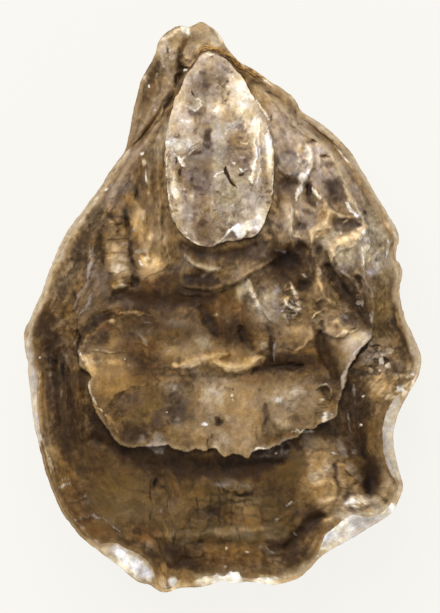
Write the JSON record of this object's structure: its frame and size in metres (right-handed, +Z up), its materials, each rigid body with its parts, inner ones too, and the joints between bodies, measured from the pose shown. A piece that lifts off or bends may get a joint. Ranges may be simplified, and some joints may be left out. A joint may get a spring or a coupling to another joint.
{
  "type": "oyster in shell",
  "caption": "Closed oyster in its shell: a rough flat valve on a deep cupped valve, with the hinge at the narrow end and wavy growth layers out to a pale margin.",
  "frame": {"origin": "middle of the bounding box's bottom face, on the surface the shell rests on", "axes": "+Y runs along the shell towards the hinge, +Z goes up from the deep valve to the flat valve, and +X is to the right when seen from above with the hinge at the far end"},
  "size_m": [0.0794, 0.1138, 0.0306],
  "materials": {
    "deep_valve": "rough chalky shell, brown and grey in growth bands, with a pale margin",
    "flat_valve": "rough layered shell, brown, olive, cream and violet, slightly damp",
    "ligament": "smooth horny band, golden brown"
  },
  "bodies": {
    "root": {"deep_valve": "deep_valve", "flat_valve": "flat_valve", "ligament": "ligament"}
  },
  "joints": []
}
